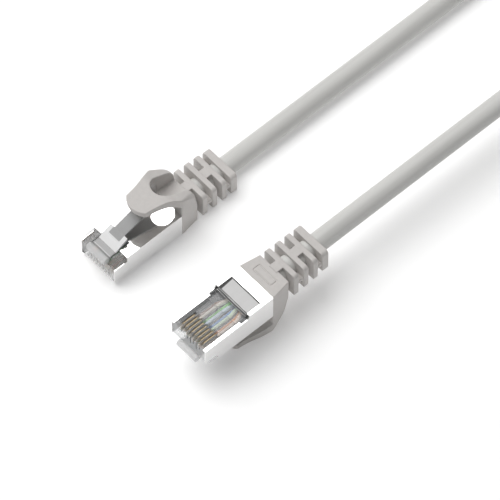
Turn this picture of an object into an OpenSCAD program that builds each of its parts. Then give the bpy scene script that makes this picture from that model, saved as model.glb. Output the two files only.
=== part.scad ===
// Shielded RJ45 (8P8C) ethernet patch cable, lying in one loose loop with its two ends side by side.
// End A lies with its latch up. End B is turned over and rests on the hood over its latch.
//
// Row frame: +Y runs along both ends, from the plugs' noses towards the loop, and +Z is up. The origin
// is the centre of the bounding box's bottom face.
// Plug frame, used by every module of one end: x = 0 on the plug's middle, y = 0 at the nose edge of
// the shield, z = 0 on the rear part of the contact side, with the latch on the +Z side.

/* [Cable] */
// Outer diameter of the jacket
cable_d = 5.2; // [5.1:0.05:5.3]
// Wall thickness of the jacket
jacket_wall = 0.6; // [0.5:0.05:0.6]
// Diameter of one insulated wire
wire_d = 0.92; // [0.86:0.02:0.92]
// Diameter of the copper conductor inside a wire
core_d = 0.5; // [0.4:0.02:0.6]
// Diameter of the drain wire
drain_d = 0.36; // [0.3:0.02:0.38]

/* [Lay] */
// Distance between the two ends, from middle to middle
end_spacing = 34.3; // [28:0.1:45]
// How far the nose of end B lies in front of the nose of end A
lead_b = 2.5; // [0:0.1:8]
// Length from the nose of end A to where the two sides part for the loop
straight_len = 134; // [134:1:150]
// Length from the nose of end B to where its cable sinks to the height of end A's
sink_y = 103; // [80:1:103]
// Bend radius where the two sides part before the loop
flare_r = 33; // [25:1:40]

/* [Plug] */
// Width of the plug over its shield
plug_w = 11.7; // [11.6:0.05:11.8]
// Length of the plug in front of the boot
plug_len = 20.9; // [20.5:0.1:21.5]
// Height of the plug's latch side above the contact side's rear
plug_top = 7.9; // [7.8:0.05:8]
// Height of the contact side's front part above its rear part
face_z = 1.15; // [1.05:0.05:1.25]
// Height of the cable's axis
cable_z = 3.3; // [3.2:0.05:3.5]
// Distance from one contact to the next
pin_pitch = 1.02; // [1.0:0.01:1.04]
// Thickness of the shield's sheet
sheet = 0.25; // [0.2:0.05:0.3]

/* [Latch] */
// Slope of the latch's tongue, in degrees
tongue_slope = 18.8; // [16:0.2:19]
// Width of the latch's tongue
tongue_w = 3.5; // [3:0.1:4]
// Width over the latch's shoulders
shoulder_w = 5.9; // [5.4:0.1:6]

/* [Boot] */
// Length of the boot's solid body
body_len = 5.6; // [5:0.1:6]
// Width of the boot's body where the strain relief begins
body_w_rear = 9.9; // [9.4:0.1:10.2]
// Width of the U-shaped slot between the hood's side arms
slot_w = 6.3; // [6.1:0.1:6.5]
// Width of the hood's thumb pad
pad_w = 7; // [6.7:0.1:7.2]
// Height of the hood's highest point
hood_top = 15.6; // [15.4:0.1:16]
// Depth of the blank label frame engraved in the boot's contact side
label_depth = 0.15; // [0.1:0.05:0.2]

/* [Motion] */
// How far the hood can be pressed down, in degrees
lever_travel = 20; // [10:1:20]
// How far the cable can bend to each side behind the boot, in degrees
bend_travel = 25; // [10:1:25]

/* [Hidden] */

$fn = 64;
eps = 0.01;        // overlap of pieces of one solid
run_fit = 0.05;    // radial clearance of a turning fit
far = 30;          // longer than any cut needs to be

// Cable cross-section
cable_r = cable_d / 2;
bore_r = cable_r - jacket_wall;
foil_r = bore_r - 0.05;
foil_t = 0.1;
pair_r = 1.15;              // radius of the circle through the middles of the four pairs
pair_half = 0.48;           // half the distance between the two wires of a pair
drain_xz = 1.14;            // the drain wire lies between two pairs

// The eight wires, pin 1 to pin 8: [angle of the pair, which wire of the pair, colour]
WIRES = [
  [180, -1, "navajowhite"], [180, 1, "darkorange"], [90, 1, "honeydew"], [-90, -1, "royalblue"],
  [-90, 1, "aliceblue"], [90, -1, "limegreen"], [0, 1, "antiquewhite"], [0, -1, "saddlebrown"]
];

// Plug
half_w = plug_w / 2;
inner_w = half_w - sheet;   // half the width inside the shield
housing_y = 0.2;            // front of the clear housing
housing_end = 17.5;
roof_y = 3.9;               // front edge of the shield's top
lip_top = 6.15;             // top of the shield's side lips in front of the roof
window_end = 10.3;          // rear end of the clear contact window
step_y = 11.9;              // the contact side behind the window steps in here once more
step_z = [face_z + 0.2, face_z + 0.45];
collar_y = 13;              // where the shield steps down to the rear part of the contact side
pocket_y = [13.9, 17.8];    // the sunken plate on the contact side
pocket_z = [1.1, 0.75];     // heights of the plate's front and rear ends
pocket_t = 0.45;
rail_w = 0.9;               // width of the shield's folded rails on the contact side
ferrule_wall = 0.25;
ferrule_end = 25.5;

// Wires inside the plug
row_z = [3.0, 3.9];         // heights of the two staggered rows
wire_tip_y = 1.3;
fan_y = [11, 15, 17.5];     // where the wires leave the guide, have changed level, and are gathered
guide_y = [6.4, 10.6];

// Contact blades
blade_t = 0.35;
blade_y = [0.9, 5.5];
blade_z = face_z + 0.35;
blade_slot = 0.5;

// Latch
latch_axis = [0, 7.1];      // (y, z) of the hinge at the nose
latch_root_r = 1;
latch_root_w = 6.4;
tongue_y = [5.1, 16.8];
tongue_z = 9.0;
tongue_t = 0.7;
latch_well_z = 6.5;
latch_well_y = 7.1;

// Hood and its side arms
hood_y = [10.5, 12];        // tip of the pad and its front corners
flare_y = 11;               // the flare's curve is parallel to the sides here
round_y = 17.3;             // rear end of the hood's flat top
pad_t = 1.2;                // thickness of the pad at its tip
under_start = [16.5, 13.57];
under_slope = 7.9;
under_r = 7.15;
lever_axis = [23.1, 10.2];  // (y, z) of the hood's hinge in the side arms
knuckle_r = 1.6;
floor_z = 8;                // the boot's floor between the side arms
boot_end = plug_len + body_len;

// Strain relief: [front, rear, half the width, low z, high z] of each rib behind the body
ribs = [
  [28.2, 29.6, 5.2, 0.15, 7.6],
  [31.3, 32.7, 5.1, 0.3, 7.4],
  [34.3, 35.7, 5.05, 0.7, 7.25],
  [37.06, 39.0, 5, 0.9, 6.65]
];
rib_round = 1.5;
bridge_w = 2.6;
bridge_z = [2.6, 4.1];

// Bend behind the boot
bend_y = 45;
pin_r = cable_r - 0.02;
jacket_gap = cable_r * tan(bend_travel) + 0.05;
core_gap = cable_r + 0.15;

// Lay of the cable. A straight leg of the path is [length, 0, rise], and a bend is [angle, radius, side],
// where side is 1 for a bend to the left and -1 for one to the right.
turn = 45;
sink_len = 25;              // length over which the cable of end B sinks
tail_b = straight_len + lead_b - sink_y - sink_len;
loop_r = (end_spacing / 2 + flare_r * (1 - cos(turn))) / cos(turn);

function cable_path(gap) = [
  [straight_len - bend_y - gap, 0, 0],
  [turn, flare_r, 1],
  [180 + 2 * turn, loop_r, -1],
  [turn, flare_r, 1],
  [tail_b, 0, 0],
  [sink_len, 0, hood_top - 2 * cable_z],
  [sink_y - bend_y - gap, 0, 0]
];

// Centre of the bounding box along Y, measured from the nose of end A
front_y = latch_axis[0] - latch_root_r - lead_b;
back_y = straight_len + (flare_r + loop_r) * sin(turn) + loop_r + cable_r;
centre_y = (front_y + back_y) / 2;

function wire_x(pin) = (pin - 3.5) * pin_pitch;
function wire_z(pin) = row_z[pin % 2];

// Place of a wire in the cable, seen from end A; side = -1 mirrors it for end B, which is turned over
function cable_spot(pin, side) =
  let (place = WIRES[pin][0], offset = WIRES[pin][1] * pair_half)
  [pair_r * cos(place) - offset * sin(place), side * (pair_r * sin(place) + offset * cos(place))];

// ---------------------------------------------------------------- helpers

module block(low, high) {
  translate(low) cube(high - low);
}

// A profile in (y, z), extruded along x
module across(x0, x1) {
  translate([x0, 0, 0]) rotate([90, 0, 90]) linear_extrude(x1 - x0) children();
}

// A section in (x, z), extruded along y
module along(y0, y1) {
  translate([0, y1, 0]) rotate([90, 0, 0]) linear_extrude(y1 - y0) children();
}

// The same piece on the left and on the right
module both_sides() {
  children();
  mirror([1, 0, 0]) children();
}

module ring(outer_r, inner_r) {
  difference() {
    circle(outer_r);
    circle(inner_r);
  }
}

// A rectangle with round corners, centred on x, from low to high
module round_rect(half, low, high, r) {
  translate([-half + r, low]) square([2 * (half - r), high - low]);
  translate([-half, low + r]) square([2 * half, high - low - 2 * r]);
  for (x = [-half + r, half - r], y = [low + r, high - r]) translate([x, y]) circle(r);
}

// Slides each section of its child sideways by x and upwards by z per unit of y
module slant(x, z) {
  multmatrix([[1, x, 0, 0], [0, 1, 0, 0], [0, z, 1, 0], [0, 0, 0, 1]]) children();
}

// Lays the section given as its child from point to point. The section stays in the plane y = const, so
// the legs meet exactly.
module lay_through(points) {
  for (i = [1:len(points) - 1]) {
    step = points[i] - points[i - 1];
    translate(points[i - 1]) slant(step.x / step.y, step.z / step.y) along(0, step.y) children();
  }
}

// Lays the section given as its child along the legs of a path that starts along +Y
module sweep(path, leg = 0) {
  if (leg < len(path)) {
    size = path[leg][0];
    r = path[leg][1];
    if (r == 0) {
      rise = path[leg][2];
      slant(0, rise / size) along(0, size) children();
      translate([0, size, rise]) sweep(path, leg + 1) children();
    } else {
      side = path[leg][2];
      translate([-side * r, 0, 0]) {
        rotate([0, 0, side > 0 ? 0 : 180 - size]) rotate_extrude(angle = size, $fn = 128)
          translate([r, 0]) mirror([side > 0 ? 0 : 1, 0]) children();
        rotate([0, 0, side * size]) translate([side * r, 0, 0]) sweep(path, leg + 1) children();
      }
    }
  }
}

module at_a() {
  translate([-end_spacing / 2, -centre_y, 0]) children();
}

module at_b() {
  translate([end_spacing / 2, -lead_b - centre_y, hood_top]) rotate([0, 180, 0]) children();
}

module along_run(gap) {
  at_a() translate([0, bend_y + gap, cable_z]) sweep(cable_path(gap)) children();
}

// ---------------------------------------------------------------- plug

module latch_profile() {
  tan_slope = tan(tongue_slope);
  end_z = tongue_z + (tongue_y[1] - tongue_y[0]) * tan_slope;
  polygon([
    [tongue_y[0], tongue_z - tongue_t], [tongue_y[0], tongue_z],
    [tongue_y[1], end_z], [tongue_y[1], end_z - tongue_t]
  ]);
}

module shoulder_profile() {
  polygon([[0.5, 7.05], [2.9, 7.05], [6.65, 8.9], [6.65, 9.8], [5.1, 9.05], [2.9, 7.65], [0.5, 7.65]]);
}

module latch() {
  color("gainsboro") {
    across(-latch_root_w / 2, latch_root_w / 2) translate(latch_axis) circle(latch_root_r);
    across(-shoulder_w / 2, shoulder_w / 2) shoulder_profile();
    across(-tongue_w / 2, tongue_w / 2) latch_profile();
  }
}

// One blade, with the tine that pierces the wire of its pin
module blade(pin) {
  across(wire_x(pin) - blade_t / 2, wire_x(pin) + blade_t / 2) polygon([
    [blade_y[0], blade_z + 0.6], [blade_y[0] + 0.6, blade_z], [blade_y[1] - 0.4, blade_z],
    [blade_y[1], blade_z + 0.4], [blade_y[1], wire_z(pin) - wire_d / 2 + 0.1],
    [4.4, wire_z(pin) - wire_d / 2 + 0.1], [4.1, wire_z(pin) + 0.2], [2.3, wire_z(pin) + 0.2],
    [2.0, wire_z(pin) - wire_d / 2 + 0.1], [blade_y[0], wire_z(pin) - wire_d / 2 + 0.1]
  ]);
}

module contact_blades() {
  color("gold") for (pin = [0:7]) blade(pin);
}

// Straight holes for the wires, from the front to the rear
module wire_holes(y0, y1, r) {
  for (pin = [0:7]) along(y0, y1) translate([wire_x(pin), wire_z(pin)]) circle(r);
}

module wire_guide() {
  color("lightcyan") difference() {
    block([-4.5, guide_y[0], 2.35], [4.5, guide_y[1], 4.55]);
    wire_holes(guide_y[0] - 1, guide_y[1] + 1, wire_d / 2);
  }
}

// The housing's outer shape, before it is hollowed out
module housing_body() {
  block([-inner_w, housing_y, face_z + sheet], [inner_w, housing_end, 7.5]);
  block([-half_w + rail_w, housing_y, face_z], [half_w - rail_w, window_end, face_z + 1]);
  both_sides() block([half_w - 0.75, 11.6, face_z - 0.1], [half_w - 0.35, 12.7, face_z + 1]);
}

module latch_well() {
  across(-latch_root_w / 2 - 0.05, latch_root_w / 2 + 0.05) {
    polygon([[0, latch_well_z], [latch_well_y, latch_well_z], [latch_well_y, 9], [0, 9]]);
    translate(latch_axis) circle(latch_root_r + run_fit);
  }
}

module blade_slots() {
  for (pin = [0:7])
    block([wire_x(pin) - blade_slot / 2, housing_y - 1, face_z - 1],
          [wire_x(pin) + blade_slot / 2, blade_y[1] + 0.1, wire_z(pin)]);
}

module plug_housing() {
  color("whitesmoke") difference() {
    housing_body();
    latch_well();
    blade_slots();
    wire_holes(wire_tip_y - 0.1, guide_y[0] + 0.1, wire_d / 2);
    // seat of the wire guide, and the room behind it where the wires fan out
    block([-4.5, guide_y[0], 2.35], [4.5, guide_y[1] + eps, 4.55]);
    block([-4.6, guide_y[1], step_z[1] + sheet], [4.6, housing_end + 1, 6.2]);
    block([-4.6, collar_y + 0.6, 1.4], [4.6, housing_end + 1, 6.2]);
    // the contact side behind the window steps in twice
    block([-half_w + rail_w, window_end, 0], [half_w - rail_w, step_y, step_z[0]]);
    block([-half_w + rail_w, step_y, 0], [half_w - rail_w, housing_end + 1, step_z[1]]);
    // the front edges of the two upper corner blocks slope back
    across(-half_w, half_w) polygon([[0, 7.6], [0, 5.6], [1.6, 7.6]]);
  }
}

// The sunken plate on the contact side, with the rounded ridge at its front
module pocket_plate() {
  across(-half_w + rail_w - eps, half_w - rail_w + eps) polygon([
    [pocket_y[0], pocket_z[0]], [pocket_y[1] + eps, pocket_z[1]],
    [pocket_y[1] + eps, pocket_z[1] + pocket_t], [pocket_y[0], pocket_z[0] + pocket_t]
  ]);
  across(-half_w + rail_w - eps, half_w - rail_w + eps) translate([pocket_y[0] - 0.3, 0.95]) circle(0.5);
}

module shield_walls() {
  both_sides() {
    across(inner_w, half_w) polygon([
      [0, face_z], [collar_y, face_z], [collar_y + 0.6, 0], [plug_len, 0], [plug_len, plug_top],
      [roof_y, plug_top], [roof_y, lip_top], [0, lip_top]
    ]);
    // the sheet folds under the contact side as a rail
    block([half_w - rail_w, 0, face_z], [inner_w + eps, window_end + 0.9, face_z + sheet]);
    block([half_w - rail_w, collar_y + 0.6, 0], [inner_w + eps, pocket_y[1] + eps, sheet]);
    block([half_w - rail_w, collar_y + 0.6, 0], [half_w - rail_w + sheet, pocket_y[1] + eps, pocket_z[0] + 0.1]);
  }
}

module shield_roof() {
  difference() {
    block([-inner_w - eps, roof_y, plug_top - sheet], [inner_w + eps, plug_len, plug_top]);
    block([-latch_root_w / 2 - 0.05, roof_y - 1, 0], [latch_root_w / 2 + 0.05, latch_well_y, far]);
  }
}

// The crimp collar at the rear, with its seam on the contact side, and the ferrule round the jacket
module shield_collar() {
  difference() {
    union() {
      block([-inner_w - eps, pocket_y[1], 0], [inner_w + eps, plug_len, sheet]);
      block([-inner_w - eps, pocket_y[1], 0], [inner_w + eps, pocket_y[1] + sheet, pocket_z[1] + pocket_t]);
      block([-inner_w - eps, plug_len - sheet, 0], [inner_w + eps, plug_len, plug_top - eps]);
      along(plug_len - sheet, ferrule_end) translate([0, cable_z]) circle(cable_r + ferrule_wall);
    }
    along(pocket_y[1] + 2 * sheet, ferrule_end + 1) translate([0, cable_z]) circle(cable_r);
    block([-0.08, pocket_y[1] - 1, -1], [0.08, plug_len - sheet - 0.5, sheet + eps]);
  }
}

module shield_shell() {
  color("silver") union() {
    shield_walls();
    shield_roof();
    shield_collar();
    pocket_plate();
  }
}

// ---------------------------------------------------------------- boot and hood

// Points of a circular arc
function arc(centre, r, from, to, steps) =
  [for (i = [0:steps]) centre + r * [cos(from + (to - from) * i / steps), sin(from + (to - from) * i / steps)]];

// Outline of the boot and the hood from above: the pad's bow, the flare, then the tapering body
module plan_outline() {
  half_pad = pad_w / 2;
  bow = hood_y[1] - hood_y[0];
  bow_r = (half_pad * half_pad + bow * bow) / (2 * bow);
  bow_turn = asin(half_pad / bow_r);
  flare = half_w - half_pad;
  reach = plug_len - 0.3 - flare_y;
  flare_r = (reach * reach + flare * flare) / (2 * flare);
  right = concat(
    arc([half_pad + flare_r, flare_y], flare_r, 180 - asin((hood_y[1] - flare_y) / flare_r),
        180 - asin(reach / flare_r), 12),
    [[half_w, plug_len], [body_w_rear / 2, boot_end]]
  );
  left = [for (i = [len(right) - 1:-1:0]) [-right[i].x, right[i].y]];
  bow_arc = arc([0, hood_y[0] + bow_r], bow_r, -90 - bow_turn, -90 + bow_turn, 12);
  polygon(concat(bow_arc, right, left));
}

// Side view of the hood and its arms: a flat top that rounds down to the boot's floor at the rear, and an
// underside that rounds down to the arms' front edge
module hood_profile() {
  reach = boot_end - round_y;
  drop = hood_top - floor_z;
  round_r = (reach * reach + drop * drop) / (2 * drop);
  under_centre = under_start - under_r * [sin(under_slope), cos(under_slope)];
  under_end = acos((plug_len - under_centre.x) / under_r);
  under = arc(under_centre, under_r, under_end, 90 - under_slope, 8);
  polygon(concat(
    [[hood_y[0], hood_top - pad_t], [hood_y[0], hood_top]],
    arc([round_y, hood_top - round_r], round_r, 90, acos(reach / round_r), 20),
    [[boot_end, floor_z - eps], [plug_len, floor_z - eps]],
    under
  ));
}

// The hood with both arms, before it is divided at its hinge
module hood() {
  intersection() {
    across(-half_w - 1, half_w + 1) hood_profile();
    linear_extrude(far) plan_outline();
    difference() {
      block([-far, 0, 0], [far, far, far]);
      hood_slot();
    }
  }
}

// The U-shaped slot between the arms, open at the rear
module hood_slot() {
  slot_y = plug_len - 0.2;
  translate([0, slot_y, floor_z]) cylinder(d = slot_w, h = far);
  block([-slot_w / 2, slot_y, floor_z], [slot_w / 2, far * 2, far]);
}

module knuckle(r) {
  across(-half_w - 1, half_w + 1) translate(lever_axis) circle(r);
}

module arm_cut(gap) {
  across(-half_w - 1, half_w + 1) translate(lever_axis) polygon([
    [-far, -gap], [far, -gap], [far, far], [-far, far]
  ]);
}

// Room below the front of the arms for the hood to be pressed down
module travel_wedge() {
  slope = tan(lever_travel + 1);
  across(-half_w - 1, half_w + 1) translate(lever_axis) polygon([
    [0, 0], [0, -run_fit], [-4, -4 * slope - run_fit], [-4, 0]
  ]);
}

module thumb_lever() {
  color("lightgray") {
    intersection() {
      hood();
      arm_cut(0);
    }
    intersection() {
      knuckle(knuckle_r);
      hood();
    }
  }
}

module arm_stubs() {
  difference() {
    hood();
    arm_cut(run_fit);
    knuckle(knuckle_r + run_fit);
    travel_wedge();
  }
}

module boot_body() {
  difference() {
    linear_extrude(floor_z) intersection() {
      plan_outline();
      translate([-half_w, plug_len]) square([plug_w, body_len]);
    }
    translate([0, 0, -eps]) linear_extrude(label_depth + eps) difference() {
      translate([-3.1, plug_len + 1.75]) square([6.2, 2.05]);
      translate([-2.9, plug_len + 1.95]) square([5.8, 1.65]);
    }
  }
}

// Bridges between the ribs: above and below the jacket in the 1st and 3rd gap, beside it in the others
module rib_bridges() {
  for (i = [0:3]) {
    y0 = (i == 0 ? boot_end : ribs[i - 1][1]) - eps;
    y1 = ribs[i][0] + eps;
    if (i % 2 == 0)
      block([-bridge_w / 2, y0, ribs[i][3]], [bridge_w / 2, y1, ribs[i][4]]);
    else
      block([-ribs[i][2] + 0.3, y0, bridge_z[0]], [ribs[i][2] - 0.3, y1, bridge_z[1]]);
  }
}

module strain_relief() {
  for (rib = ribs) along(rib[0], rib[1]) round_rect(rib[2], rib[3], rib[4], rib_round);
  rib_bridges();
}

module boot() {
  color("lightgray") difference() {
    union() {
      boot_body();
      arm_stubs();
      strain_relief();
    }
    translate([0, 0, cable_z]) {
      along(plug_len - 1, far * 2) circle(cable_r);
      along(plug_len - 1, ferrule_end) circle(cable_r + ferrule_wall);
    }
  }
}

// ---------------------------------------------------------------- cable ends

// The upright pin shape about which the cable bends
module bend_pin(r) {
  translate([0, bend_y, -far / 2]) cylinder(r = r, h = far);
}

module jacket_end() {
  color("gainsboro") translate([0, 0, cable_z]) {
    difference() {
      union() {
        along(pocket_y[1] + 2 * sheet, bend_y) circle(cable_r);
        intersection() {
          along(bend_y - eps, bend_y + cable_r) circle(cable_r);
          bend_pin(pin_r);
        }
      }
      along(0, bend_y + far) circle(bore_r);
    }
  }
}

module foil_end() {
  color("silver") translate([0, 0, cable_z]) along(pocket_y[1] + 2 * sheet, bend_y) ring(foil_r, foil_r - foil_t);
}

module drain_wire_end(side) {
  color("lightslategray") along(fan_y[2], bend_y) translate([drain_xz, cable_z + side * drain_xz])
    circle(drain_d / 2);
}

// The middle line of one wire, from its tip in the housing to the bend behind the boot
function wire_line(pin, side) =
  let (spot = cable_spot(pin, side), x = wire_x(pin), z = cable_z + spot.y)
  [
    [x, wire_tip_y, wire_z(pin)], [x, fan_y[0], wire_z(pin)], [x, fan_y[1], z],
    [spot.x, fan_y[2], z], [spot.x, bend_y, z]
  ];

module wire_end(pin, side) {
  color(WIRES[pin][2]) difference() {
    lay_through(wire_line(pin, side)) ring(wire_d / 2, core_d / 2);
    blade(pin);
  }
}

module copper_cores_end(side) {
  color("peru") for (pin = [0:7]) difference() {
    lay_through(wire_line(pin, side)) circle(core_d / 2);
    blade(pin);
  }
}

// ---------------------------------------------------------------- cable run

module jacket() {
  color("gainsboro") difference() {
    along_run(jacket_gap) ring(cable_r, bore_r);
    at_a() bend_pin(pin_r + run_fit);
    at_b() bend_pin(pin_r + run_fit);
  }
}

module foil() {
  color("silver") along_run(core_gap) ring(foil_r, foil_r - foil_t);
}

module drain_wire() {
  color("lightslategray") along_run(core_gap) translate([drain_xz, drain_xz]) circle(drain_d / 2);
}

module wire(pin) {
  color(WIRES[pin][2]) along_run(core_gap) translate(cable_spot(pin, 1)) ring(wire_d / 2, core_d / 2);
}

module copper_cores() {
  color("peru") for (pin = [0:7]) along_run(core_gap) translate(cable_spot(pin, 1)) circle(core_d / 2);
}

at_a() plug_housing();  // plug_housing_a
at_a() latch();  // latch_a
at_a() contact_blades();  // contact_blades_a
at_a() wire_guide();  // wire_guide_a
at_a() shield_shell();  // shield_shell_a
at_a() boot();  // boot_a
at_a() thumb_lever();  // thumb_lever_a
at_a() jacket_end();  // jacket_end_a
at_a() foil_end();  // foil_end_a
at_a() drain_wire_end(1);  // drain_wire_end_a
at_a() wire_end(0, 1);  // wire_white_orange_end_a
at_a() wire_end(1, 1);  // wire_orange_end_a
at_a() wire_end(2, 1);  // wire_white_green_end_a
at_a() wire_end(3, 1);  // wire_blue_end_a
at_a() wire_end(4, 1);  // wire_white_blue_end_a
at_a() wire_end(5, 1);  // wire_green_end_a
at_a() wire_end(6, 1);  // wire_white_brown_end_a
at_a() wire_end(7, 1);  // wire_brown_end_a
at_a() copper_cores_end(1);  // copper_cores_end_a
at_b() plug_housing();  // plug_housing_b
at_b() latch();  // latch_b
at_b() contact_blades();  // contact_blades_b
at_b() wire_guide();  // wire_guide_b
at_b() shield_shell();  // shield_shell_b
at_b() boot();  // boot_b
at_b() thumb_lever();  // thumb_lever_b
at_b() jacket_end();  // jacket_end_b
at_b() foil_end();  // foil_end_b
at_b() drain_wire_end(-1);  // drain_wire_end_b
at_b() wire_end(0, -1);  // wire_white_orange_end_b
at_b() wire_end(1, -1);  // wire_orange_end_b
at_b() wire_end(2, -1);  // wire_white_green_end_b
at_b() wire_end(3, -1);  // wire_blue_end_b
at_b() wire_end(4, -1);  // wire_white_blue_end_b
at_b() wire_end(5, -1);  // wire_green_end_b
at_b() wire_end(6, -1);  // wire_white_brown_end_b
at_b() wire_end(7, -1);  // wire_brown_end_b
at_b() copper_cores_end(-1);  // copper_cores_end_b
jacket();
foil();
drain_wire();
wire(0);  // wire_white_orange
wire(1);  // wire_orange
wire(2);  // wire_white_green
wire(3);  // wire_blue
wire(4);  // wire_white_blue
wire(5);  // wire_green
wire(6);  // wire_white_brown
wire(7);  // wire_brown
copper_cores();
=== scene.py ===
"""Looks of the ethernet patch cable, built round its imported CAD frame.

Each end is modelled in its plug frame, in mm: x = 0 on the plug's middle, y = 0 at the nose edge of the
shield, z = 0 on the rear part of the contact side, and the latch on the +z side. End B is turned over.
"""
import functools
import math

import bmesh
import bpy
import numpy as np
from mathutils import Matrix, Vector


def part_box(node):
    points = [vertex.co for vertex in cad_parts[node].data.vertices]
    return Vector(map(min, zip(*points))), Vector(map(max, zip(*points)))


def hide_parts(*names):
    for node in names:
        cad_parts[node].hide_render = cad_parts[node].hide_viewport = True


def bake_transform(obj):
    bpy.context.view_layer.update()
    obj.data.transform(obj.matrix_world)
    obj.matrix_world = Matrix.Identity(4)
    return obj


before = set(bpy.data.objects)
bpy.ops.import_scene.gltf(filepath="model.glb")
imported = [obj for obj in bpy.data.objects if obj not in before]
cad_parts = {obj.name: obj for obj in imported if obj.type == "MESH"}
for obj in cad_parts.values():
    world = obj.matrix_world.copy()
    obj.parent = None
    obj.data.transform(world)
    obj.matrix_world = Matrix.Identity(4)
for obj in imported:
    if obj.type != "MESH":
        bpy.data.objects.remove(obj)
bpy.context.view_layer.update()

MM = 0.001

# ---------------------------------------------------------------- measures, in mm

PLUG_LEN = 20.9
BODY_END = 26.5
HALF_W = 5.85
CABLE_Z = 3.1
CABLE_R = 2.55
BORE_R = 2.0
FOIL_R = 1.95
FOIL_WALL = 0.1
WIRE_R = 0.46
CORE_R = 0.25
CORE_GAP = 0.005
DRAIN_R = 0.18
DRAIN_PLACE = 1.14
PAIR_R = 1.15
PAIR_HALF = 0.48
PIN_PITCH = 1.02
ROW_Z = (3.0, 3.9)
WIRE_TIP = 1.3
FAN = (11.0, 17.5)          # where the wires leave their rows, and where they are gathered
JACKET_START = 18.3
TWIST_START = 45.0
TWIST_PITCH = 60.0
FLARE_R = 33.0
TURN = math.radians(45)
SINK = (100.0, 131.0)       # where the cable of end B sinks, from its nose
BEND = (39.6, 50.4)         # BEND = (39.6, 50.4) # where the real cable bends behind the boot
HOOD_TOP = 15.6
FLOOR_Z = 8.0
LATCH_AXIS = (0.0, 7.1)
HOOD_BLEND = (8.6, 11.6)    # HOOD_BLEND = (8.6, 11.6) # heights on the hood's root between which the real arms flex

# Pins 1 to 8: (colour, angle of the pair in the cable, which wire of the pair)
WIRES = (
    ("white_orange", 180, -1), ("orange", 180, 1), ("white_green", 90, 1), ("blue", -90, -1),
    ("white_blue", -90, 1), ("green", 90, -1), ("white_brown", 0, 1), ("brown", 0, -1),
)

# Ribs of the strain relief: front, rear, half the width, low z, high z. Those of end A stop at z = 0.
RIBS = (
    (28.0, 29.4, 5.2, -0.2, 7.4), (31.1, 32.5, 5.15, -0.25, 7.2),
    (34.1, 35.5, 5.1, -0.25, 7.05), (36.9, 38.8, 5.05, -0.2, 6.5),
)
RIB_EDGE = 0.15
RIB_ROUND = (1.0, 0.3)      # radii of a rib's upper and lower corners
RIB_LAP = 0.3               # how far a bridge runs into its ribs
BODY_LAP = 0.5              # how far the first bridge runs into the body
BRIDGE_HALF = 1.3           # half the width of the bridges above and below the jacket
SIDE_BRIDGE_Z = 3.45        # middle of the bridges beside the jacket
SIDE_BRIDGE_DROP = 0.4      # how much lower they lie than that
SIDE_BRIDGE_HALF = 0.5      # half their height
SIDE_BRIDGE_IN = 0.3        # how far they stay inside the ribs
BRIDGE_ROUND = 0.1
FILLET = 0.12


class End:
    """One end of the cable: where its plug frame lies in the row frame."""

    def __init__(self, letter):
        low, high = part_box("shield_shell_" + letter)
        self.letter = letter
        self.turned = letter == "b"
        self.origin = np.array([(low.x + high.x) / 2, low.y, high.z if self.turned else low.z])
        self.flip = np.array([-1.0, 1.0, -1.0]) if self.turned else np.ones(3)
        self.body = "end_" + letter

    def place(self, points):
        return self.origin + np.asarray(points, float) * self.flip * MM


ENDS = (End("a"), End("b"))


# ---------------------------------------------------------------- meshes

def make_object(name, points, faces, lay=None):
    """A smooth mesh from points in metres. lay holds each point's undeformed place, for the materials."""
    mesh = bpy.data.meshes.new(name)
    mesh.from_pydata(points, [], faces)
    bm = bmesh.new()
    bm.from_mesh(mesh)
    bmesh.ops.recalc_face_normals(bm, faces=bm.faces)
    bm.to_mesh(mesh)
    bm.free()
    mesh.polygons.foreach_set("use_smooth", np.ones(len(mesh.polygons), bool))
    if lay is not None:
        attribute = mesh.attributes.new("lay", "FLOAT_VECTOR", "POINT")
        attribute.data.foreach_set("vector", np.asarray(lay, np.float32).ravel())
    obj = bpy.data.objects.new(name, mesh)
    bpy.context.scene.collection.objects.link(obj)
    return obj


def smoothstep(low, high, value):
    t = np.clip((value - low) / (high - low), 0, 1)
    return t * t * (3 - 2 * t)


# ---------------------------------------------------------------- distance fields

def polygon_field(u, v, points):
    """Signed distance from (u, v) to a closed polygon, negative inside."""
    shape = np.broadcast(u, v).shape
    nearest = np.full(shape, 1e9)
    inside = np.zeros(shape, bool)
    for (au, av), (bu, bv) in zip(points, points[1:] + points[:1]):
        eu, ev = bu - au, bv - av
        t = np.clip(((u - au) * eu + (v - av) * ev) / (eu * eu + ev * ev), 0, 1)
        nearest = np.minimum(nearest, (u - au - t * eu) ** 2 + (v - av - t * ev) ** 2)
        if av != bv:
            inside ^= ((av <= v) != (bv <= v)) & (u < au + (v - av) * eu / ev)
    return np.where(inside, -1, 1) * np.sqrt(nearest)


def box_field(u, v, half_u, half_v, r=0.0):
    """Signed distance to a rectangle about (0, 0) whose corners are rounded by r."""
    du, dv = np.abs(u) - (half_u - r), np.abs(v) - (half_v - r)
    return np.hypot(np.maximum(du, 0), np.maximum(dv, 0)) + np.minimum(np.maximum(du, dv), 0) - r


def both(a, b, r):
    """Where a and b overlap, the edge between them rounded by r."""
    return np.minimum(-r, np.maximum(a, b)) + np.hypot(np.maximum(a + r, 0), np.maximum(b + r, 0))


def either(a, b, r):
    """a and b together, the corner between them filled by a fillet of radius r."""
    return np.maximum(r, np.minimum(a, b)) - np.hypot(np.maximum(r - a, 0), np.maximum(r - b, 0))


def slab(value, low, high):
    """Signed distance to the layer from low to high."""
    return np.abs(value - (low + high) / 2) - (high - low) / 2


SLOPE_STEP = 0.004
LEAST_SLOPE = 0.3
RELAX = 0.6                 # how far each point moves towards the middle of its neighbours
CELL_EDGES = [(a, b) for a in range(8) for b in range(a + 1, 8) if (a ^ b) in (1, 2, 4)]


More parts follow.
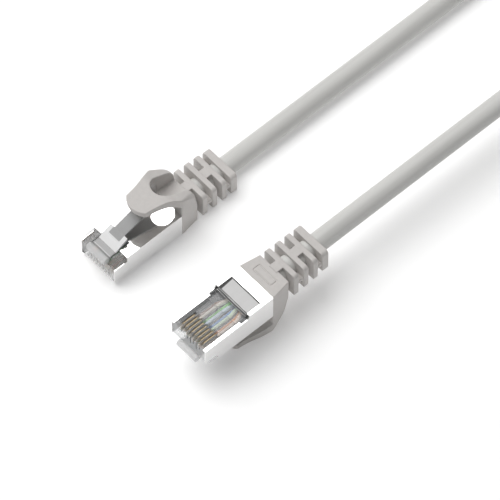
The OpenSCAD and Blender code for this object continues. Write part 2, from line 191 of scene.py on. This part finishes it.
def grid_quads(inside, index, axis):
    """Quads round the grid edges along one axis that cross the surface."""
    near = [slice(1, -1)] * 3
    near[axis] = slice(0, -1)
    beyond = list(near)
    beyond[axis] = slice(1, None)
    start, end = inside[tuple(near)], inside[tuple(beyond)]
    cells = np.argwhere(start != end)
    cells[:, [k for k in range(3) if k != axis]] += 1
    outward = start[start != end]
    p, q = [(1, 2), (2, 0), (0, 1)][axis]
    corners = []
    for dp, dq in ((1, 1), (0, 1), (0, 0), (1, 0)):
        c = cells.copy()
        c[:, p] -= dp
        c[:, q] -= dq
        corners.append(index[c[:, 0], c[:, 1], c[:, 2]])
    quads = np.stack(corners, 1)
    quads[~outward] = quads[~outward][:, ::-1]
    return quads


def field_slope(field, points):
    slope = np.empty_like(points)
    for k in range(3):
        step = np.zeros(3)
        step[k] = SLOPE_STEP
        slope[:, k] = (field(*(points + step).T) - field(*(points - step).T)) / (2 * SLOPE_STEP)
    return slope


def settle(field, points, rounds):
    """Moves points onto the field's zero level."""
    for _ in range(rounds):
        slope = field_slope(field, points)
        scale = np.maximum((slope ** 2).sum(1), LEAST_SLOPE)
        points = points - (field(*points.T) / scale)[:, None] * slope
    return points


def relax(points, quads):
    """Moves each point to the middle of its neighbours."""
    total = np.zeros_like(points)
    count = np.zeros(len(points))
    for k in range(4):
        a, b = quads[:, k], quads[:, (k + 1) % 4]
        for source, target in ((a, b), (b, a)):
            for axis in range(3):
                total[:, axis] += np.bincount(target, points[source, axis], len(points))
            count += np.bincount(target, minlength=len(points))
    return total / count[:, None]


def mesh_field(field, low, high, step):
    """Quads over the zero level of a distance field: one point in each grid cell that it crosses."""
    axes = [np.arange(low[k], high[k] + step, step) for k in range(3)]
    values = field(axes[0][:, None, None], axes[1][None, :, None], axes[2][None, None, :])
    inside = values < 0
    shape = np.array(inside.shape) - 1
    offsets = [((c >> 2) & 1, (c >> 1) & 1, c & 1) for c in range(8)]
    corner = [tuple(slice(o[k], o[k] + shape[k]) for k in range(3)) for o in offsets]
    count = sum(inside[c].astype(np.int8) for c in corner)
    active = (count > 0) & (count < 8)
    index = np.full(active.shape, -1, np.int64)
    index[active] = np.arange(active.sum())
    cells = np.argwhere(active)
    at = np.stack([values[c][active] for c in corner], 1)
    total = np.zeros((len(cells), 3))
    crossings = np.zeros(len(cells))
    for a, b in CELL_EDGES:
        crosses = (at[:, a] < 0) != (at[:, b] < 0)
        share = np.where(crosses, at[:, a] / np.where(crosses, at[:, a] - at[:, b], 1), 0)
        ends = np.array(offsets[a], float), np.array(offsets[b], float)
        total += np.where(crosses[:, None], ends[0] + share[:, None] * (ends[1] - ends[0]), 0)
        crossings += crosses
    points = np.array(low) + (cells + total / crossings[:, None]) * step
    quads = np.concatenate([grid_quads(inside, index, axis) for axis in range(3)])
    points = settle(field, points, 2)
    points = settle(field, points * (1 - RELAX) + relax(points, quads) * RELAX, 3)
    return points, quads


# ---------------------------------------------------------------- boot and hood, one moulding

def arc(centre, r, start, end, steps):
    angles = np.radians(np.linspace(start, end, steps + 1))
    return [(centre[0] + r * math.cos(t), centre[1] + r * math.sin(t)) for t in angles]


PAD_HALF = 3.45
PAD_TIP = 10.5
PAD_CORNER = 12.0
BOW_R = (PAD_HALF ** 2 + (PAD_CORNER - PAD_TIP) ** 2) / (2 * (PAD_CORNER - PAD_TIP))
BOW_TURN = math.degrees(math.asin(PAD_HALF / BOW_R))
FLARE_CENTRE = (28.4, 10.05)
FLARE_ARC = 25.0
REAR_HALF = 4.95
BEYOND = 8.0                # how far the tapering sides run on, behind the body
FLARE_END = PLUG_LEN - 0.1
TAPER_START = PLUG_LEN + 0.3
BOW_SHORT = 4.0             # how far the pad's bow stops short of its corners, in degrees
PAD_FRONT = PAD_TIP - 2     # ahead of the bow, which cuts the pad off
PAD_UNDER = 14.12           # underside of the hood at its tip
HOOD_BEND = (17.2, 5.0)     # where the flat top begins to bend down, and the radius of the bend
BEND_TURN = 62.5            # where that bend hands over to the round rear, in degrees
REAR_R = 5.4
REAR_RISE = 0.1
UNDER_CENTRE = (15.517, 6.488)
UNDER_R = 7.15
UNDER_TURN = (41.2, 82.1)
SLOT_R = 3.1
SLOT_Y = 20.4
SLOT_EDGES = (0.35, 0.22)
BOOT_EDGE = 0.2
REAR_EDGE = 1.0             # how much rounder the edges get towards the rear of the hood
REAR_FROM = ((19.5, 25.5), (6.0, 9.0))
OUTLINE_Y = 23.68           # the inset outline on the contact side
OUTLINE_HALF = (3.0, 0.93)
OUTLINE_ROUND = 0.1
OUTLINE_WIDTH = 0.13        # half the width of its line
OUTLINE_DEPTH = 0.18
OUTLINE_EDGE = 0.05
BORE_GAP = 0.03
BORE_FROM = PLUG_LEN + 0.6
BORE_EDGE = 0.15
BOOT_BOX = ((-6.1, 10.2, -0.5), (6.1, 39.3, 15.85))
BOOT_STEP = 0.12
HOOD_ROOT_Y = 23.1


def boot_plan():
    """Outline from above: the pad's bow, its flare and the tapering body, open-ended at the rear."""
    taper = (HALF_W - REAR_HALF) / (BODY_END - PLUG_LEN)
    turn = [math.degrees(math.asin((y - FLARE_CENTRE[1]) / FLARE_ARC)) for y in (PAD_CORNER, FLARE_END)]
    right = arc(FLARE_CENTRE, FLARE_ARC, 180 - turn[0], 180 - turn[1], 16)
    right += [(HALF_W, TAPER_START), (REAR_HALF - taper * BEYOND, BODY_END + BEYOND)]
    half_bow = BOW_TURN - BOW_SHORT
    bow = arc((0, PAD_TIP + BOW_R), BOW_R, -90 - half_bow, -90 + half_bow, 14)
    return bow + right + [(-x, y) for x, y in reversed(right)]


def boot_side():
    """Outline from the side: the flat hood, the slope to the rear, the body, and the hood's underside."""
    bend_y, bend_r = HOOD_BEND
    top = [(PAD_FRONT, HOOD_TOP)] + arc((bend_y, HOOD_TOP - bend_r), bend_r, 90, BEND_TURN, 8)
    rear = arc((BODY_END - REAR_R, FLOOR_Z + REAR_RISE), REAR_R, BEND_TURN, 0, 14)
    under = arc(UNDER_CENTRE, UNDER_R, *UNDER_TURN, 10)
    return top + rear + [(BODY_END, 0), (PLUG_LEN, 0)] + under + [(PAD_FRONT, PAD_UNDER)]


PLAN = boot_plan()
SIDE = boot_side()


def rib_section(x, z, half, low, high, up):
    """A rib from the front: its upper corners are rounder than its lower ones. up is 1 or -1."""
    level = z - (low + high) / 2
    upper, lower = (box_field(x, level, half, (high - low) / 2, r) for r in RIB_ROUND)
    return np.where(up * level > 0, upper, lower)


def relief_field(x, y, z, up):
    """Ribs and the bridges between them, which leave the jacket open to view in the gaps."""
    shape = 1e3
    front = BODY_END - BODY_LAP
    for i, (start, end, half, low, high) in enumerate(RIBS):
        if up > 0:
            low = max(low, 0.0)
        rib = both(rib_section(x, z, half, low, high, up), slab(y, start, end), RIB_EDGE)
        if i % 2 == 0:
            section = box_field(x, z - (low + high) / 2, BRIDGE_HALF, (high - low) / 2, BRIDGE_ROUND)
        else:
            level = z - SIDE_BRIDGE_Z + SIDE_BRIDGE_DROP * up
            section = box_field(x, level, half - SIDE_BRIDGE_IN, SIDE_BRIDGE_HALF, BRIDGE_ROUND)
        bridge = np.maximum(section, slab(y, front, start + RIB_LAP))
        shape = np.minimum(shape, either(rib, bridge, FILLET))
        front = end - RIB_LAP
    return shape


def boot_field(x, y, z, up):
    """The boot with its hood. up is 1 where the hood is on top and -1 where the plug is turned over."""
    along, above = REAR_FROM
    soft_rear = smoothstep(*along, y) * smoothstep(*above, z)
    body = both(polygon_field(x, y, PLAN), polygon_field(y, z, SIDE), BOOT_EDGE + REAR_EDGE * soft_rear)
    slot = np.hypot(x, np.minimum(y - SLOT_Y, 0)) - SLOT_R
    body = both(body, -both(slot, FLOOR_Z - z, SLOT_EDGES[0]), SLOT_EDGES[1])
    outline = np.abs(box_field(x, y - OUTLINE_Y, *OUTLINE_HALF, OUTLINE_ROUND)) - OUTLINE_WIDTH
    body = both(body, -both(outline, z - OUTLINE_DEPTH, OUTLINE_EDGE), OUTLINE_EDGE)
    shape = either(body, relief_field(x, y, z, up), FILLET)
    bore = np.hypot(x, z - CABLE_Z) - CABLE_R - BORE_GAP
    return both(shape, -np.maximum(bore, BORE_FROM - y), BORE_EDGE)


def build_boots():
    for end in ENDS:
        field = functools.partial(boot_field, up=-1 if end.turned else 1)
        points, quads = mesh_field(field, *BOOT_BOX, BOOT_STEP)
        boot = make_object("moulded_boot_" + end.letter, end.place(points), quads.tolist(), points * MM)
        dress(boot, "boot_plastic")
        low, high = (end.place((0, HOOD_ROOT_Y, z)) for z in HOOD_BLEND)
        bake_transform(boot)
        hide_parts("boot_" + end.letter, "thumb_lever_" + end.letter)


# ---------------------------------------------------------------- latch

KNUCKLE_R = 1.0
KNUCKLE_HALF = 3.2
SHOULDER = [(0.3, 6.9), (2.9, 6.95), (6.65, 8.85), (6.65, 9.8), (5.1, 9.05), (2.9, 7.65), (0.3, 7.75)]
SHOULDER_HALF = 2.95
TONGUE = [(4.9, 8.2), (4.9, 8.93), (16.8, 12.98), (16.8, 12.28)]
TONGUE_HALF = 1.75
LATCH_EDGE = 0.12
KNUCKLE_EDGE = 0.2
SHOULDER_FILLET = 0.2
TONGUE_FILLET = 0.15
LATCH_BOX = ((-3.4, -1.2, 5.9), (3.4, 17.0, 13.2))
LATCH_STEP = 0.09
LATCH_BLEND = (-1.0, 1.6)   # LATCH_BLEND = (-1.0, 1.6) # along the plug, where the real latch flexes

# Looks of the latch from the nose back: up to this y, its painted lightness (painted light and shade) and
# how solid it is
LATCH_ZONES = ((0.6, 0.80, 0.60), (1.2, 0.42, 0.55), (1.36, 0.95, 0.90), (2.95, 0.42, 0.80))
TONGUE_ZONE = (5.0, 1.79)   # behind this y and nearer to the middle than this
# Painted lightness (light and shade) and opacity of the tongue, and of the shoulders and all else
TONGUE_LOOK = (0.43, 0.96)
SHOULDER_LOOK = (0.92, 0.95)


def latch_field(x, y, z):
    knuckle = np.hypot(y - LATCH_AXIS[0], z - LATCH_AXIS[1]) - KNUCKLE_R
    root = both(knuckle, np.abs(x) - KNUCKLE_HALF, KNUCKLE_EDGE)
    shoulder = both(polygon_field(y, z, SHOULDER), np.abs(x) - SHOULDER_HALF, LATCH_EDGE)
    tongue = both(polygon_field(y, z, TONGUE), np.abs(x) - TONGUE_HALF, LATCH_EDGE)
    return either(either(root, shoulder, SHOULDER_FILLET), tongue, TONGUE_FILLET)


def latch_painted_light(points):
    """Painted light and shade on the one clear moulding: the nose and shoulders painted bright, the slope
    and tongue painted dark; and how solid each part looks.
    """
    x, y = np.abs(points[:, 0]), points[:, 1]
    places = [y < zone[0] for zone in LATCH_ZONES] + [(y > TONGUE_ZONE[0]) & (x < TONGUE_ZONE[1])]
    looks = [zone[1:] for zone in LATCH_ZONES] + [TONGUE_LOOK]
    return [np.select(places, [look[k] for look in looks], SHOULDER_LOOK[k]) for k in range(2)]


def build_latches():
    points, quads = mesh_field(latch_field, *LATCH_BOX, LATCH_STEP)
    for end in ENDS:
        latch = make_object("clear_latch_" + end.letter, end.place(points), quads.tolist(), points * MM)
        # The "light" attribute carries the painted light and shade, "solid" the opacity
        for name, values in zip(("light", "solid"), latch_painted_light(points)):
            attribute = latch.data.attributes.new(name, "FLOAT", "POINT")
            attribute.data.foreach_set("value", values.astype(np.float32))
        # The latch's material shows the painted light and shade of its "light" attribute
        dress(latch, "clear_plastic", "painted_light_latch_plastic")
        front, rear = (end.place((0, y, LATCH_AXIS[1])) for y in LATCH_BLEND)
        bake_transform(latch)
        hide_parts("latch_" + end.letter)


# ---------------------------------------------------------------- cable

AHEAD = 0.02
NEAR = 60.0
NEAR_STEP = 0.5
FAR_STEP = 1.1
SHARP = math.radians(50)


def leg_points(start, heading, curve, s):
    """Points of a straight leg or an arc, at the distances s from its start."""
    if curve == 0:
        return start + s[:, None] * np.array([math.cos(heading), math.sin(heading)])
    turned = heading + curve * s
    offset = np.stack([np.sin(turned) - math.sin(heading), math.cos(heading) - np.cos(turned)], 1)
    return start + offset / curve


class Cable:
    """The cable's middle line from the nose of end A to the nose of end B, in mm in the row frame."""

    def __init__(self):
        a, b = (end.origin / MM for end in ENDS)
        spacing = b[0] - a[0]
        loop_r = (spacing / 2 + FLARE_R * (1 - math.cos(TURN))) / math.cos(TURN)
        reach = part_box("jacket")[1].y / MM - CABLE_R - a[1]
        straight = reach - loop_r - (FLARE_R + loop_r) * math.sin(TURN)
        self.low_z = CABLE_Z
        self.high_z = b[2] - CABLE_Z
        legs = [
            (straight, 0), (TURN * FLARE_R, 1 / FLARE_R), ((math.pi + 2 * TURN) * loop_r, -1 / loop_r),
            (TURN * FLARE_R, 1 / FLARE_R), (straight + a[1] - b[1], 0),
        ]
        self.length = sum(leg[0] for leg in legs)
        self.legs = []
        start, heading, begun = a[:2], math.pi / 2, 0.0
        for length, curve in legs:
            self.legs.append((begun, begun + length, start, heading, curve))
            start = leg_points(start, heading, curve, np.array([length]))[0]
            heading += curve * length
            begun += length

    def middle(self, s):
        flat = np.zeros((len(s), 2))
        for begun, ended, start, heading, curve in self.legs:
            here = (s >= begun - 1e-9) & (s <= ended + 1e-9)
            flat[here] = leg_points(start, heading, curve, s[here] - begun)
        sink = smoothstep(SINK[1], SINK[0], self.length - s)
        return np.column_stack([flat, self.low_z + (self.high_z - self.low_z) * sink])

    def frames(self, s):
        """Middle, side and up vectors at each distance along the cable."""
        ahead = self.middle(np.minimum(s + AHEAD, self.length)) - self.middle(np.maximum(s - AHEAD, 0))
        ahead /= np.linalg.norm(ahead, axis=1)[:, None]
        side = np.column_stack([ahead[:, 1], -ahead[:, 0], np.zeros(len(s))])
        side /= np.linalg.norm(side, axis=1)[:, None]
        return self.middle(s), side, np.cross(side, ahead)


def stations(start, end):
    """Distances from start, which is near the nose, to end; closer together near the nose."""
    near = np.arange(start, NEAR, NEAR_STEP)
    return np.append(np.concatenate([near, np.arange(NEAR, end, FAR_STEP)]), end)


def sweep(name, s, frames, radius, segments, offset=(0.0, 0.0), bore=0.0):
    """A rod, or a tube with a bore, along the cable. offset is its middle in (side, up)."""
    middle, side, up = frames
    angles = np.linspace(0, 2 * math.pi, segments, endpoint=False)
    rings, lay = [], []
    for r in [radius] + ([bore] if bore else []):
        u = np.asarray(offset[0]).reshape(-1, 1) + r * np.cos(angles)
        v = np.asarray(offset[1]).reshape(-1, 1) + r * np.sin(angles)
        u, v = np.broadcast_to(u, (len(s), segments)), np.broadcast_to(v, (len(s), segments))
        rings.append(middle[:, None] + u[..., None] * side[:, None] + v[..., None] * up[:, None])
        lay.append(np.stack([u, np.broadcast_to(s[:, None], u.shape), v], -1))
    index = np.arange(len(rings) * len(s) * segments).reshape(len(rings), len(s), segments)
    faces = []
    for ring in index:
        turned = np.roll(ring, -1, 1)
        quads = np.stack([ring[:-1], ring[1:], turned[1:], turned[:-1]], -1)
        faces += quads.reshape(-1, 4).tolist()
    if bore:
        for row in (0, -1):
            outer, inner = index[0, row], index[1, row]
            faces += np.stack([outer, np.roll(outer, -1), np.roll(inner, -1), inner], -1).tolist()
    else:
        faces += [index[0, 0].tolist(), index[0, -1].tolist()]
    points = np.concatenate([r.reshape(-1, 3) for r in rings]) * MM
    obj = make_object(name, points, faces, np.concatenate([l.reshape(-1, 3) for l in lay]) * MM)
    obj.data.set_sharp_from_angle(angle=SHARP)
    return obj


def wire_offset(cable, s, pin):
    """Where one wire runs beside the cable's middle: in its row in the plug, then laid with the others."""
    _, pair, which = WIRES[pin]
    pair_turn = math.radians(pair)
    spot = (
        PAIR_R * math.cos(pair_turn) - which * PAIR_HALF * math.sin(pair_turn),
        PAIR_R * math.sin(pair_turn) + which * PAIR_HALF * math.cos(pair_turn),
    )
    from_b = s > cable.length / 2
    gap = np.where(from_b, cable.length - s, s)
    gathered = smoothstep(FAN[0], FAN[1], gap)
    above = ROW_Z[pin % 2] - CABLE_Z
    in_row = ((pin - (len(WIRES) - 1) / 2) * PIN_PITCH, np.where(from_b, -above, above))
    laid = lay_turn(cable, s, spot)
    return tuple(in_row[k] * (1 - gathered) + laid[k] * gathered for k in range(2))


def lay_turn(cable, s, spot):
    """The wires lie in a long helix, in whole turns from bend to bend."""
    length = cable.length - 2 * TWIST_START
    turn = 2 * math.pi * round(length / TWIST_PITCH) * np.clip((s - TWIST_START) / length, 0, 1)
    return (
        spot[0] * np.cos(turn) - spot[1] * np.sin(turn),
        spot[0] * np.sin(turn) + spot[1] * np.cos(turn),
    )


def build_half(cable, end):
    """Everything from one plug to the middle of the loop."""
    letter = end.letter
    bend = [end.place((0, y, CABLE_Z)) for y in BEND]

    def strand(name, slot, start, nodes, radius, segments, spot=None, pin=None, bore=0.0):
        s = stations(start, cable.length / 2)
        if end.turned:
            s = cable.length - s[::-1]
        offset = (0.0, 0.0)
        if spot is not None:
            offset = lay_turn(cable, s, spot)
        if pin is not None:
            offset = wire_offset(cable, s, pin)
        piece = sweep(f"{name}_{letter}", s, cable.frames(s), radius, segments, offset, bore)
        dress(piece, slot)
        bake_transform(piece)
        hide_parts(*nodes)

    strand("cable_jacket", "jacket_plastic", JACKET_START, ["jacket", "jacket_end_" + letter],
           CABLE_R, segments=64, bore=BORE_R)
    strand("cable_foil", "foil_metal", JACKET_START, ["foil", "foil_end_" + letter],
           FOIL_R, segments=32, bore=FOIL_R - FOIL_WALL)
    strand("cable_drain", "tinned_copper", FAN[1], ["drain_wire", "drain_wire_end_" + letter],
           DRAIN_R, segments=10, spot=(DRAIN_PLACE, DRAIN_PLACE))
    for pin, (colour, _, _) in enumerate(WIRES):
        strand("insulation_" + colour, "wire_" + colour, WIRE_TIP,
               ["wire_" + colour, f"wire_{colour}_end_{letter}"], WIRE_R, segments=16, pin=pin, bore=CORE_R)
        strand(f"core_{pin + 1}", "copper", WIRE_TIP, ["copper_cores", "copper_cores_end_" + letter],
               CORE_R - CORE_GAP, segments=8, pin=pin)


# ---------------------------------------------------------------- materials

def add_noise(tree, coords, scale, stretch=(1, 1, 1), detail=3.0):
    mapping = tree.nodes.new("ShaderNodeMapping")
    mapping.inputs["Scale"].default_value = [scale * k for k in stretch]
    noise = tree.nodes.new("ShaderNodeTexNoise")
    noise.inputs["Scale"].default_value = 1.0
    noise.inputs["Detail"].default_value = detail
    tree.links.new(coords, mapping.inputs["Vector"])
    tree.links.new(mapping.outputs["Vector"], noise.inputs["Vector"])
    return noise.outputs["Fac"]


def add_range(tree, value, low, high, start=0.3, end=0.7):
    node = tree.nodes.new("ShaderNodeMapRange")
    node.inputs["From Min"].default_value = start
    node.inputs["From Max"].default_value = end
    node.inputs["To Min"].default_value = low
    node.inputs["To Max"].default_value = high
    tree.links.new(value, node.inputs["Value"])
    return node.outputs["Result"]


def add_reader(tree, name):
    node = tree.nodes.new("ShaderNodeAttribute")
    node.attribute_name = name
    return node.outputs["Fac"]


def add_opacity(tree, clear, mapped):
    """Opacity from straight on to grazing. Where mapped it is at least the piece's "solid" attribute."""
    facing = tree.nodes.new("ShaderNodeLayerWeight")
    facing.inputs["Blend"].default_value = 0.35
    opacity = add_range(tree, facing.outputs["Facing"], *clear, 0.0, 1.0)
    if not mapped:
        return opacity
    solid = tree.nodes.new("ShaderNodeMath")
    solid.operation = "MAXIMUM"
    tree.links.new(opacity, solid.inputs[0])
    tree.links.new(add_reader(tree, "solid"), solid.inputs[1])
    return solid.outputs[0]


def add_bump(tree, coords, height, scale, stretch):
    node = tree.nodes.new("ShaderNodeBump")
    node.inputs["Strength"].default_value = 1.0
    node.inputs["Distance"].default_value = height * MM
    tree.links.new(add_noise(tree, coords, scale, stretch, 4.0), node.inputs["Height"])
    return node.outputs["Normal"]


def make_material(
        name, colour, rough, laid=True, scale=900, stretch=(1, 1, 1), shade=0.03, rough_spread=0.05,
        bump=0.0, bump_scale=6000, bump_stretch=(1, 1, 1), clear=None, mapped=False, **inputs):
    """A material whose colour, roughness and surface vary by noise in the piece's own space.

    clear is how opaque it is seen straight on and at a grazing angle. A mapped material takes its
    lightness, which is painted light and shade, and its least opacity from the piece's "light" and "solid"
    attributes.
    """
    material = bpy.data.materials.new(name)
    material.use_nodes = True
    tree = material.node_tree
    bsdf = tree.nodes["Principled BSDF"]
    if laid:
        place = tree.nodes.new("ShaderNodeAttribute")
        place.attribute_name = "lay"
        coords = place.outputs["Vector"]
    else:
        coords = tree.nodes.new("ShaderNodeTexCoord").outputs["Object"]
    noise = add_noise(tree, coords, scale, stretch)
    mix = tree.nodes.new("ShaderNodeMix")
    mix.data_type = "RGBA"
    mix.inputs["A"].default_value = [c * (1 - shade) for c in colour] + [1]
    mix.inputs["B"].default_value = [min(1, c * (1 + shade)) for c in colour] + [1]
    tree.links.new(add_range(tree, noise, 0, 1), mix.inputs["Factor"])
    # Where mapped, the base colour is the painted light and shade of the "light" attribute
    base = add_reader(tree, "light") if mapped else mix.outputs["Result"]
    tree.links.new(base, bsdf.inputs["Base Color"])
    roughness = add_range(tree, noise, rough - rough_spread, rough + rough_spread)
    tree.links.new(roughness, bsdf.inputs["Roughness"])
    if clear:
        tree.links.new(add_opacity(tree, clear, mapped), bsdf.inputs["Alpha"])
    if bump:
        normal = add_bump(tree, coords, bump, bump_scale, bump_stretch)
        tree.links.new(normal, bsdf.inputs["Normal"])
    for key, value in inputs.items():
        bsdf.inputs[key.replace("_", " ")].default_value = value
    return material


def wire_material(name, colour):
    return make_material("wire_" + name, colour, 0.35, scale=1500, stretch=(1, 0.1, 1), shade=0.05)


MATERIALS = {
    "boot_plastic": make_material("boot_plastic", (0.615, 0.59, 0.57), 0.46, bump=0.006, bump_scale=9000),
    "jacket_plastic": make_material(
        "jacket_plastic", (0.655, 0.65, 0.63), 0.36, scale=700, stretch=(1, 0.04, 1), shade=0.05,
        bump=0.01, bump_scale=1500, bump_stretch=(1, 0.05, 1)),
    "clear_plastic": make_material(
        "clear_plastic", (0.80, 0.81, 0.82), 0.08, laid=False, shade=0.01, rough_spread=0.02,
        clear=(0.12, 0.65), IOR=1.58),
    "guide_plastic": make_material(
        "guide_plastic", (0.80, 0.81, 0.82), 0.08, laid=False, shade=0.01, rough_spread=0.02,
        clear=(0.04, 0.40), IOR=1.58),
    # The latch's base colour is painted light and shade, read from its "light" attribute
    "painted_light_latch_plastic": make_material(
        "painted_light_latch_plastic", (0.80, 0.80, 0.80), 0.08, shade=0.01, rough_spread=0.02,
        clear=(0.3, 0.9), mapped=True, IOR=1.58),
    "shield_metal": make_material(
        "shield_metal", (0.85, 0.845, 0.84), 0.07, laid=False, scale=2500, stretch=(1, 0.08, 1), shade=0.02,
        rough_spread=0.015, Metallic=1.0),
    "gold_contact": make_material(
        "gold_contact", (0.66, 0.52, 0.33), 0.34, laid=False, scale=3000, Metallic=1.0),
    "foil_metal": make_material(
        "foil_metal", (0.82, 0.83, 0.85), 0.3, bump=0.02, bump_scale=2500, Metallic=1.0),
    "tinned_copper": make_material("tinned_copper", (0.72, 0.71, 0.69), 0.3, Metallic=1.0),
    "copper": make_material("copper", (0.80, 0.42, 0.25), 0.3, Metallic=1.0),
    "wire_white_orange": wire_material("white_orange", (0.85, 0.68, 0.55)),
    "wire_orange": wire_material("orange", (0.85, 0.33, 0.10)),
    "wire_white_green": wire_material("white_green", (0.70, 0.85, 0.62)),
    "wire_blue": wire_material("blue", (0.10, 0.28, 0.68)),
    "wire_white_blue": wire_material("white_blue", (0.66, 0.78, 0.90)),
    "wire_green": wire_material("green", (0.20, 0.62, 0.12)),
    "wire_white_brown": wire_material("white_brown", (0.80, 0.70, 0.60)),
    "wire_brown": wire_material("brown", (0.32, 0.17, 0.10)),
}


WELD_WITHIN = 1e-6          # in metres
FLAT_WITHIN = math.radians(0.5)
BEVEL_FROM = math.radians(35)
BEVEL_STEPS = 2


def dress(obj, slot, finish=None):
    """Gives a piece its finish: the material named by finish, or else by slot."""
    material = MATERIALS[finish or slot]
    if obj.material_slots:
        for place in obj.material_slots:
            place.material = material
    else:
        obj.data.materials.append(material)


def soften(obj, width):
    """Rounds the edges of a CAD piece."""
    weld = obj.modifiers.new("weld", "WELD")
    weld.merge_threshold = WELD_WITHIN
    flat = obj.modifiers.new("flat", "DECIMATE")
    flat.decimate_type = "DISSOLVE"
    flat.angle_limit = FLAT_WITHIN
    bevel = obj.modifiers.new("bevel", "BEVEL")
    bevel.width = width * MM
    bevel.segments = BEVEL_STEPS
    bevel.limit_method = "ANGLE"
    bevel.angle_limit = BEVEL_FROM
    bevel.harden_normals = True


def dress_frame():
    """Finishes of the CAD pieces that are shown as they are."""
    shown = (
        ("plug_housing_", "clear_plastic", "clear_plastic", 0.08),
        ("wire_guide_", "clear_plastic", "guide_plastic", 0.05),
        ("contact_blades_", "gold_contact", "gold_contact", 0.04),
        ("shield_shell_", "shield_metal", "shield_metal", 0.07),
    )
    for stem, slot, finish, width in shown:
        for end in ENDS:
            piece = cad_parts[stem + end.letter]
            dress(piece, slot, finish)
            soften(piece, width)


# ---------------------------------------------------------------- studio

CAMERA_TURN = 48            # in degrees
CAMERA_RISE = 57.5
CAMERA_DISTANCE = 1.9
CAMERA_LENS = 589
SENSOR_WIDTH = 36
CLIP_END = 20
TARGET = (19.5, 29.8, 0.0)
MIRROR_TURN = CAMERA_TURN - 180   # what the upward faces mirror to the camera comes from this side
FLOOR_GLOW = 0.22
FLOOR_HALF = 4.0
FLOOR_DROP = 0.00005
FLOOR_COLOUR = 0.93
FLOOR_ROUGH = 0.9
WORLD_GLOW = 0.12


def direction(turn, rise):
    """Unit vector towards a point at this azimuth (0 is -Y, 90 is +X) and elevation, in degrees."""
    turn, rise = math.radians(turn), math.radians(rise)
    return Vector((math.sin(turn) * math.cos(rise), -math.cos(turn) * math.cos(rise), math.sin(rise)))


def add_camera():
    data = bpy.data.cameras.new("camera")
    data.lens = CAMERA_LENS
    data.sensor_width = SENSOR_WIDTH
    data.clip_end = CLIP_END
    camera = bpy.data.objects.new("camera", data)
    bpy.context.scene.collection.objects.link(camera)
    back = direction(CAMERA_TURN, CAMERA_RISE)
    camera.location = Vector(ENDS[0].place(TARGET)) + back * CAMERA_DISTANCE
    camera.rotation_euler = (-back).to_track_quat("-Z", "Y").to_euler()
    bpy.context.scene.camera = camera


def add_softbox(name, turn, rise, distance, size, radiance, mirrored=True):
    """A square light that looks at the object from one side. mirrored is whether shiny faces show it."""
    data = bpy.data.lights.new(name, "AREA")
    data.size = size
    data.energy = radiance * math.pi * size * size
    light = bpy.data.objects.new(name, data)
    light.visible_glossy = mirrored
    bpy.context.scene.collection.objects.link(light)
    towards = direction(turn, rise)
    light.location = Vector(ENDS[0].place(TARGET)) + towards * distance
    light.rotation_euler = towards.to_track_quat("Z", "Y").to_euler()


def add_floor():
    points = [(x * FLOOR_HALF, y * FLOOR_HALF, 0) for x, y in ((-1, -1), (1, -1), (1, 1), (-1, 1))]
    floor = make_object("floor", points, [(0, 1, 2, 3)])
    floor.location.z = -FLOOR_DROP
    material = bpy.data.materials.new("floor")
    material.use_nodes = True
    bsdf = material.node_tree.nodes["Principled BSDF"]
    bsdf.inputs["Base Color"].default_value = (FLOOR_COLOUR, FLOOR_COLOUR, FLOOR_COLOUR, 1)
    bsdf.inputs["Roughness"].default_value = FLOOR_ROUGH
    bsdf.inputs["Specular IOR Level"].default_value = 0.0
    bsdf.inputs["Emission Color"].default_value = (1, 1, 1, 1)
    bsdf.inputs["Emission Strength"].default_value = FLOOR_GLOW
    floor.data.materials.append(material)


def add_studio():
    world = bpy.data.worlds.new("studio")
    world.use_nodes = True
    background = world.node_tree.nodes["Background"]
    background.inputs["Color"].default_value = (1, 1, 1, 1)
    background.inputs["Strength"].default_value = WORLD_GLOW
    bpy.context.scene.world = world
    add_softbox("key", turn=-62, rise=66, distance=1.6, size=1.5, radiance=3.5, mirrored=False)
    add_softbox("top", turn=MIRROR_TURN, rise=CAMERA_RISE, distance=1.9, size=0.2, radiance=3.6)
    add_softbox("top_wide", turn=MIRROR_TURN, rise=CAMERA_RISE, distance=2.0, size=1.6, radiance=0.6)
    bpy.context.scene.view_settings.view_transform = "Standard"


# ---------------------------------------------------------------- assembly

def build_cable():
    cable = Cable()
    for end in ENDS:
        build_half(cable, end)


build_boots()
build_latches()
build_cable()
dress_frame()
add_camera()
add_floor()
add_studio()
